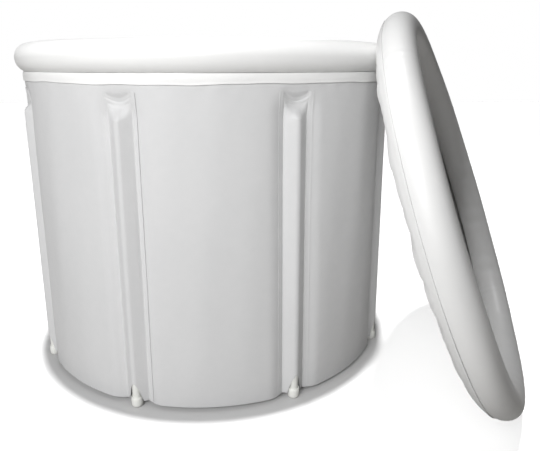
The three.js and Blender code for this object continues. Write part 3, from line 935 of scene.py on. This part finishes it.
@dataclass(frozen=True)
class Sleeves:
    """Strips welded to the wall, each with a tunnel for its rod, a tucked top and an arched foot."""

    shape: WallShape
    wardrobe: Wardrobe
    half_width: float = 0.038
    rod_rise: float = 0.0138
    rod_round: float = 0.0105
    low: float = 0.004
    top: float = 0.6518
    tuck_length: float = 0.034
    arch_half: float = 0.0165
    arch_height: float = 0.047
    tuck_start: float = 0.585
    plain_rows: int = 56
    tuck_rows: int = 48
    flange_columns: int = 20
    arch_columns: int = 35
    weld_line: float = 0.0272
    edge_line: float = 0.0345
    gather_pitch: float = 0.023

    def columns(self) -> Array:
        """Distances across the strip, closer together in the arch.

        Returns:
            Distances from the rod, with their sign.
        """
        side = np.linspace(self.arch_half, self.half_width, self.flange_columns)
        arch = self.arch_half * np.sin(np.linspace(-math.pi / 2, math.pi / 2, self.arch_columns))
        return np.concatenate([-side[::-1], arch[1:-1], side])

    def heights(self, across: Array) -> Array:
        """Heights of the rows at each column, from the arched foot to the top, closer in the tuck.

        Args:
            across: distances of the columns from the rod.

        Returns:
            Heights (rows, columns).
        """
        plain = np.linspace(0, self.tuck_start, self.plain_rows)
        tuck = np.linspace(self.tuck_start, self.top, self.tuck_rows)
        level = np.concatenate([plain, tuck[1:]])[:, None]
        share = np.minimum(1, np.abs(across) / self.arch_half)
        foot = self.low + (self.arch_height - self.low) * (1 - share**1.8)
        return foot + level / self.top * (self.top - foot)

    def lift(self, across: Array) -> Array:
        """Height of the taut strip over the wall: round over the rod, and straight from there to its welds.

        Args:
            across: distance along the wall from the rod.

        Returns:
            The height, which is zero beyond the welds.
        """
        shape, weld, beside = self.shape, self.shape.tunnel_half, np.abs(across)
        foot = shape.valley_depth - shape.valley(weld, 0.0)
        tilt = math.atan2(self.rod_rise - foot, weld)
        tilt += math.asin(self.rod_round / math.hypot(weld, self.rod_rise - foot))
        over_rod = self.rod_rise + np.sqrt(np.maximum(self.rod_round**2 - beside**2, 0))
        straight = foot + math.tan(tilt) * (weld - beside)
        top = np.where(beside < self.rod_round * math.sin(tilt), over_rod, straight)
        return np.maximum(top - shape.valley_depth + shape.valley(across, 0.0), 0)

    def flat_width(self) -> float:
        """Width of the strip laid flat, which is its length across, over the rod.

        Returns:
            The width.
        """
        across = self.columns()
        rise = self.lift(across) - self.shape.valley(across, 0.0)
        return float(np.hypot(np.diff(across), np.diff(rise)).sum())

    def fullness(self, across: Array, height: Array) -> Array:
        """Share of the lift that is left: it closes under the crease, and soft gathers cross the tunnel.

        Args:
            across: distance along the wall from the rod.
            height: above the base.

        Returns:
            The share, about 1 below the tuck and 0 over it.
        """
        share = np.minimum(1, np.abs(across) / self.shape.tunnel_half)
        over = self.shape.above_crease(across, height)
        closing = smooth(over, -0.002 - self.tuck_length, -0.002)
        gathers = 0.03 * np.sin(2 * math.pi * height / self.gather_pitch) * bell(share - 0.6, 0.2)
        gathers = gathers * (0.5 + 0.5 * np.sin(13 * height + across * 60))
        return (1 - closing) * (1 - gathers)

    def strip(self, number: int) -> Thing:
        """One sleeve: the wall's own ease carries its flanges, and the crown lifts the tunnel off it.

        Args:
            number: which leg it is on.

        Returns:
            The new piece.
        """
        shape = self.shape
        across = self.columns()[None, :]
        height = self.heights(across)
        angle = shape.leg_angle(number) + across / shape.radius
        dip, ease = shape.valley(across, height), shape.ease(angle, height)
        lift = self.lift(across) * self.fullness(across, height)
        held = np.clip(lift / 0.006, 0, 1)
        beside = np.abs(across)
        seam = 0.0005 * bell(beside - self.weld_line, 0.0009) + 0.0003 * bell(beside - self.edge_line, 0.0008)
        inner = shape.radius - dip + ease * (1 - held) + shape.gap + lift
        back = round_about(angle, inner, height)
        front = round_about(angle, inner + shape.skin - seam, height)
        cut = np.stack([across + 0 * height, height], -1)
        return shell(f"sleeve_{number}", front, back, cut, False)

    def build(self) -> None:
        """Makes and dresses the sleeves."""
        for number in range(1, self.shape.leg_count + 1):
            strip = self.strip(number)
            flat = (self.flat_width(), self.top - self.low)
            self.wardrobe.dress(strip, Slot.WALL, "tub", f"rod_sleeve_{number}")


@dataclass(frozen=True)
class Legs:
    """Rods with a moulded foot cap below and a plug above."""

    shape: WallShape
    wardrobe: Wardrobe
    axis: float = 0.4408
    rod: float = 0.010
    bore: float = 0.008
    foot: float = 0.013
    foot_height: float = 0.022
    foot_drop: float = 0.008
    sole: float = 0.006
    rod_length: float = 0.6058
    head: float = 0.003
    plug: float = 0.012
    bore_seam: float = 0.3
    taper: float = 0.0004
    lip: float = 0.0009

    def place(self, number: int) -> Array:
        """Matrix from a leg's turning frame to the tub's.

        Args:
            number: which leg.

        Returns:
            The matrix (4, 4).
        """
        angle = self.shape.leg_angle(number)
        matrix = np.eye(4)
        matrix[:3, 3] = self.axis * math.cos(angle), self.axis * math.sin(angle), -self.foot_drop
        return matrix

    def foot_profile(self) -> Array:
        """A cap with a rounded sole, a slight taper and a lip round the rod.

        Returns:
            Points (n, 2) of radius and height.
        """
        r, high, socket = self.foot, self.foot_height, self.rod + self.shape.gap
        outline = [(0, 0), (r - self.taper, 0), (r, 0.009), (r - self.taper / 2, high - 0.003)]
        outline += [(r - self.lip, high - 0.0022), (r - self.lip, high), (socket, high)]
        return rounded(np.array([*outline, (socket, self.sole), (0, self.sole)]), 0.0035, 6)

    def rod_profile(self) -> Array:
        """A plain tube with eased ends, which starts and ends half way up its bore.

        Returns:
            Points (n, 2) of radius and height.
        """
        low, high = self.sole + self.shape.gap, self.rod_length - self.head - self.shape.gap
        seam = (self.bore, self.bore_seam)
        outline = [(self.bore, low), (self.rod, low), (self.rod, high), (self.bore, high)]
        return rounded(np.array([seam, *outline, seam]), 0.0005, 3)

    def plug_profile(self) -> Array:
        """A domed head over a short plug.

        Returns:
            Points (n, 2) of radius and height.
        """
        shoulder, fit = self.rod_length - self.head, self.bore - self.shape.gap
        outline = [(0, shoulder - self.plug), (fit, shoulder - self.plug), (fit, shoulder)]
        outline += [(self.rod, shoulder), (self.rod, self.rod_length), (0, self.rod_length)]
        return rounded(np.array(outline), 0.0014, 5)

    def build(self) -> None:
        """Makes and dresses each leg's rod, foot and plug."""
        for number in range(1, self.shape.leg_count + 1):
            place, body = self.place(number), f"rod_{number}"
            rod = turned(f"rod_tube_{number}", self.rod_profile(), place, 32)
            self.wardrobe.dress(rod, Slot.WHITE_PLASTIC, body, f"support_rod_{number}")
            foot = turned(f"foot_moulding_{number}", self.foot_profile(), place, 48)
            self.wardrobe.dress(foot, Slot.WHITE_PLASTIC, body, f"foot_cap_{number}")
            plug = turned(f"rod_plug_{number}", self.plug_profile(), place, 32)
            self.wardrobe.dress(plug, Slot.GREY_PLASTIC, body, f"rod_top_cap_{number}")


@dataclass(frozen=True)
class AirRing:
    """An inflated tube closed in a ring, with a cross seam or two and gathers on its inner side."""

    name: str
    radius: float
    tube: float
    seams: tuple[float, ...]
    gathers: float
    columns: int = 480
    rows: int = 60

    def swell(self, angle: Array, turn: Array) -> Array:
        """How far the skin stands off the plain tube: gathers inside, a raised lap at each cross seam.

        Args:
            angle: round the ring.
            turn: round the tube, from its outer side.

        Returns:
            Distance outwards.
        """
        inside = ((1 - np.cos(turn)) / 2) ** 2
        crimp = np.sin(53 * angle + 0.7 * np.sin(5 * angle)) * (0.5 + 0.5 * np.sin(17 * angle + 1))
        swell = self.gathers * inside * (crimp - 1) + 0.0003 * np.sin(9 * angle + 2 * turn)
        for seam in self.seams:
            away = self.radius * np.angle(np.exp(1j * (angle - math.radians(seam))))
            swell = swell + 0.0006 * bell(away, 0.0045) - 0.0005 * bell(np.abs(away) - 0.007, 0.0025)
        return swell - 0.0004

    def build(self, place: Array) -> Thing:
        """The ring's skin: a circle carried round a circle, and swollen.

        Args:
            place: matrix (4, 4) from the ring's frame, axis along Z, to the tub's.

        Returns:
            The new piece.
        """
        angle, turn = turns(self.columns), turns(self.rows).T
        tube = self.tube + self.swell(angle, turn)
        local = round_about(angle, self.radius + tube * np.cos(turn), tube * np.sin(turn))
        quads, corners = grid_quads(self.rows, self.columns, True, True)
        u, v = round_length(self.radius, self.columns), round_length(self.tube, self.rows)
        cut = at_corners(flat_pattern(u, v), corners)
        return make_object(self.name, moved(local, place).reshape(-1, 3), quads, cut)


@dataclass(frozen=True)
class Rim:
    """The inflated ring on top of the wall."""

    wardrobe: Wardrobe
    radius: float = 0.428
    tube: float = 0.034
    height: float = 0.716
    seams: tuple[float, ...] = (47.0,)
    gathers: float = 0.0008

    def build(self) -> None:
        """Makes and dresses the ring."""
        place = np.eye(4)
        place[2, 3] = self.height
        ring = AirRing("rim_ring", self.radius, self.tube, self.seams, self.gathers).build(place)
        self.wardrobe.dress(ring, Slot.WHITE, "tub", "top_air_ring")


@dataclass(frozen=True)
class Lid:
    """The leaning lid: an inflated ring with a slack sheet welded over its tub side."""

    wardrobe: Wardrobe
    radius: float = 0.398
    tube: float = 0.034
    lean: float = math.radians(20)
    facing: float = math.radians(-22)
    centre: tuple[float, float, float] = (0.550911, -0.324512, 0.399998)
    gap: float = 0.0003
    skin: float = 0.0012
    bulge: float = 0.016
    sag: float = 0.004
    weld_start: float = math.radians(39)
    weld_end: float = math.radians(53)
    seams: tuple[float, ...] = (-52.0, 128.0)
    gathers: float = 0.0006
    columns: int = 480
    weld_rows: int = 7
    free_rows: int = 84
    slack: float = 0.0012
    crumple: float = 0.0016
    pleats: tuple[tuple[float, ...], ...] = (
        (17, 0.4, 0.0062, 0.10),
        (29, 2.2, 0.0046, 0.06),
        (11, 4.0, 0.0040, 0.19),
        (43, 1.1, 0.0036, 0.045),
    )

    def place(self) -> Array:
        """Matrix from the lid's frame, open side along Z and slope along Y, to the tub's.

        Returns:
            The matrix (4, 4).
        """
        level = np.array([math.cos(self.facing), math.sin(self.facing), 0])
        up = np.array([0, 0, 1])
        opened = level * math.cos(self.lean) + up * math.sin(self.lean)
        slope = up * math.cos(self.lean) - level * math.sin(self.lean)
        matrix = np.eye(4)
        matrix[:3, 0], matrix[:3, 1], matrix[:3, 2] = np.cross(slope, opened), slope, opened
        matrix[:3, 3] = self.centre
        return matrix

    def section(self) -> Array:
        """The sheet's inner face from its weld on the tube's shoulder to the middle of the lid.

        Returns:
            Points (n, 2) of radius and depth: an arc on the tube, then a smooth curve.
        """
        reach = self.tube + self.gap
        weld = np.linspace(self.weld_start, self.weld_end, self.weld_rows)
        on_tube = np.stack([self.radius + reach * np.cos(weld), -reach * np.sin(weld)], -1)
        leaving = np.array([-math.sin(self.weld_end), -math.cos(self.weld_end)])
        back = -self.tube - self.bulge
        free = [
            on_tube[-1],
            on_tube[-1] + leaving * self.tube / 2,
            (self.radius - self.tube / 2, back + 0.0025),
            (self.radius - 2 * self.tube, back),
            (self.radius - 4 * self.tube, back),
            (self.radius / 3, back + self.sag / 2),
            (0, back + self.sag),
        ]
        return np.concatenate([on_tube[:-1], through(np.array(free), self.free_rows)])

    def folds(self, angle: Array, away: Array) -> Array:
        """Slack of the sheet towards the lid's open side: sharp radial pleats and soft crumples.

        Each row of pleats has its count, phase, depth and the length over which it fades.

        Args:
            angle: round the lid.
            away: length of sheet from the weld.

        Returns:
            Depth of the fold.
        """
        start = smooth(away, 0.006, 0.05)
        pleat = 0.0
        for count, phase, depth, reach in self.pleats:
            bent = count * angle + phase + 1.3 * np.sin(3 * angle + phase) + count * away
            crest = (1 - np.abs(np.sin(bent / 2))) ** 2
            pleat = pleat + depth * crest * np.exp(-away / reach)
        crumple = np.sin(23 * angle + 70 * away) * np.sin(9 * angle - 40 * away + 1)
        crumple = self.crumple * crumple * np.exp(-away / 0.14)
        return start * (pleat + crumple + self.slack)

    def membrane(self) -> Thing:
        """The sheet over the tub side, welded along the tube's shoulder: its section turned, and folded.

        Returns:
            The new piece.
        """
        line, place = self.section(), self.place()
        angle = turns(self.columns)
        step, run = self.skin * headings(line), run_along(line)
        weld_length = self.tube * (self.weld_end - self.weld_start)
        reach = line[:, :1]
        fold = self.folds(angle, np.maximum(run - weld_length, 0)[:, None]) * smooth(reach, 0.0, 0.05)
        depth = line[:, 1:] + fold
        away = np.where(reach == 0, 0, np.maximum(reach - step[:, 1:], 0))
        inner = moved(round_about(angle, reach, depth), place)
        outer = moved(round_about(angle, away, depth + step[:, :1]), place)
        cut = flat_pattern(round_length(self.radius, self.columns), run)
        return shell("lid_sheet", inner, outer, cut, True)

    def build(self) -> None:
        """Makes and dresses the lid's ring and sheet."""
        ring = AirRing("lid_ring", self.radius, self.tube, self.seams, self.gathers).build(self.place())
        self.wardrobe.dress(ring, Slot.WHITE, "lid", "lid_air_ring")
        sheet = self.membrane()
        self.wardrobe.dress(sheet, Slot.WHITE, "lid", "lid_membrane")


@dataclass(frozen=True)
class Fittings:
    """Valves and drain, whose solids stay in view."""

    wardrobe: Wardrobe

    def build(self) -> None:
        """Gives the fittings their finishes."""
        for side in ("ring", "lid"):
            self.wardrobe.finish_nodes(Slot.WHITE_PLASTIC, f"{side}_valve_base", f"{side}_valve_cap")
            self.wardrobe.finish_nodes(Slot.GREY_PLASTIC, f"{side}_valve_insert")
        self.wardrobe.finish_nodes(Slot.GREY_PLASTIC, "drain_body", "drain_nut", "drain_cap")
        self.wardrobe.finish_nodes(Slot.RUBBER, "drain_gasket", "drain_seal")


# The studio


@dataclass(frozen=True)
class SoftBox:
    """A square light that faces a point and can be kept to a set of pieces."""

    name: str
    place: tuple[float, float, float]
    target: tuple[float, float, float]
    size: float
    power: float
    only: bpy.types.Collection | None = None

    def build(self) -> None:
        """Adds the light."""
        lamp = bpy.data.lights.new(self.name, "AREA")
        lamp.shape = "SQUARE"
        lamp.size = self.size
        lamp.energy = self.power
        light = bpy.data.objects.new(self.name, lamp)
        light.location = self.place
        aim = Vector(self.target) - Vector(self.place)
        light.rotation_euler = aim.to_track_quat("-Z", "Y").to_euler()
        light.light_linking.receiver_collection = self.only
        bpy.context.scene.collection.objects.link(light)


@dataclass(frozen=True)
class Studio:
    """Camera, pale floor and soft light."""

    sets: LightSets
    eye: tuple[float, float, float] = (0.1089, -1.4388, 0.7028)
    yaw: float = 0.0338
    pitch: float = 0.2419
    lens: float = 35.73
    shift: tuple[float, float] = (-0.0023, -0.0541)
    floor_half: float = 9.0
    floor_height: float = -0.0082
    bounce: tuple[float, float, float] = (0.14, 0.137, 0.132)
    surround_left: float = 0.1
    surround_right: float = 0.05
    heading: tuple[float, float, float] = (0.0, -0.035, -1.0)
    sun_width: float = math.radians(2.2)
    floor_points: int = 19
    floor_light: float = 0.63
    floor_deep: float = 0.65
    box_size: float = 1.6
    tub_middle: tuple[float, float, float] = (0.0, 0.0, 0.5)
    lid_middle: tuple[float, float, float] = (0.55, -0.3, 0.4)

    def camera(self) -> None:
        """The camera at the photograph's place, turned by yaw to the right and pitch down."""
        data = bpy.data.cameras.new("eye")
        data.sensor_width = 36.0
        data.lens = self.lens
        data.shift_x, data.shift_y = self.shift
        data.clip_start, data.clip_end = 0.02, 60.0
        camera = bpy.data.objects.new("eye", data)
        camera.location = self.eye
        flat = math.cos(self.pitch)
        ahead = Vector((math.sin(self.yaw) * flat, math.cos(self.yaw) * flat, -math.sin(self.pitch)))
        camera.rotation_euler = ahead.to_track_quat("-Z", "Y").to_euler()
        bpy.context.scene.collection.objects.link(camera)
        bpy.context.scene.camera = camera

    def floor(self) -> None:
        """A wide pale floor, slightly clouded, that throws back less light than the camera sees."""
        count = self.floor_points
        side = np.linspace(-self.floor_half, self.floor_half, count)
        x, y = np.meshgrid(side, side)
        points = np.stack([x, y, np.full_like(x, self.floor_height)], -1)
        quads, corners = grid_quads(count, count, False, False)
        cut = at_corners(flat_pattern(side, side), corners)
        floor = make_object("floor", points.reshape(-1, 3), quads, cut)
        made, wire, shader = new_material("pale_floor")
        cloud = wire.noise(wire.add("ShaderNodeTexCoord").outputs["Object"], 1.5, 3.0, 0.5)
        seen = wire.blend(cloud, (*(self.floor_light,) * 3, 1), (*(self.floor_deep,) * 3, 1))
        by_camera = wire.add("ShaderNodeLightPath").outputs["Is Camera Ray"]
        wire.feed(shader.inputs["Base Color"], wire.blend(by_camera, (*self.bounce, 1), seen))
        wire.feed_all(shader, {"Roughness": 0.9, "Specular IOR Level": 0.1})
        floor.data.materials.append(made)
        self.sets.floor.objects.link(floor)
        self.sets.tub.objects.link(floor)

    def sky(self) -> None:
        """A white surround for the camera that lights the tub weakly, and least from the right."""
        world = bpy.data.worlds.new("surround")
        bpy.context.scene.world = world
        world.use_nodes = True
        wire = Wiring(world.node_tree)
        back = world.node_tree.nodes["Background"]
        back.inputs["Color"].default_value = (1, 1, 1, 1)
        split = wire.add("ShaderNodeSeparateXYZ")
        wire.feed(split.inputs[0], wire.add("ShaderNodeTexCoord").outputs["Generated"])
        middle = (self.surround_left + self.surround_right) / 2
        slant = (self.surround_right - self.surround_left) / 2
        dim = wire.math("MULTIPLY_ADD", split.outputs[0], slant, middle)
        seen = wire.add("ShaderNodeLightPath").outputs["Is Camera Ray"]
        lack = wire.math("SUBTRACT", 1.0, dim)
        wire.feed(back.inputs["Strength"], wire.math("MULTIPLY_ADD", seen, lack, dim))

    def sun(self, name: str, energy: float) -> Thing:
        """A lamp high over the tub and a little behind it, which draws the floor shadow.

        Args:
            name: the lamp's name.
            energy: its strength.

        Returns:
            The lamp's object.
        """
        lamp = bpy.data.lights.new(name, "SUN")
        lamp.energy = energy
        lamp.angle = self.sun_width
        light = bpy.data.objects.new(name, lamp)
        light.rotation_euler = Vector(self.heading).to_track_quat("-Z", "Y").to_euler()
        bpy.context.scene.collection.objects.link(light)
        return light

    def lights(self) -> None:
        """A broad light from the left, fills on the tub, a side light on the lid, and high lamps."""
        tub, lid, size = self.tub_middle, self.lid_middle, self.box_size
        SoftBox("main", (-2.3, -2.7, 1.4), tub, size, power=30.0).build()
        SoftBox("fill", (-0.7, -2.95, 1.8), tub, size, power=69.0, only=self.sets.tub).build()
        SoftBox("side", (-1.7, -2.5, 2.3), lid, size, power=80.0, only=self.sets.lid).build()
        SoftBox("back", (0.0, 3.2, 1.6), tub, size, power=44.0, only=self.sets.tub).build()
        self.sun("high", 1.0)
        self.sun("tub_high", 1.0).light_linking.receiver_collection = self.sets.tub
        wash = self.sun("floor_wash", 2.9).light_linking
        wash.receiver_collection, wash.blocker_collection = self.sets.floor, self.sets.tub

    def build(self) -> None:
        """Sets up the camera, the floor, the surround and the lights."""
        settings = bpy.context.scene.view_settings
        settings.view_transform = "Standard"
        settings.look = "None"
        self.camera()
        self.floor()
        self.sky()
        self.lights()


def main() -> None:
    """Builds the studio and each sub-assembly, and reports every piece."""
    logging.basicConfig(level=logging.INFO, format="%(name)s: %(message)s")
    sets = LightSets()
    Studio(sets).build()
    wardrobe = Wardrobe(sets)
    shape = WallShape()
    WallAssembly(shape, wardrobe).build()
    Sleeves(shape, wardrobe).build()
    Legs(shape, wardrobe).build()
    Rim(wardrobe).build()
    Lid(wardrobe).build()
    Fittings(wardrobe).build()


if __name__ == "__main__":
    main()
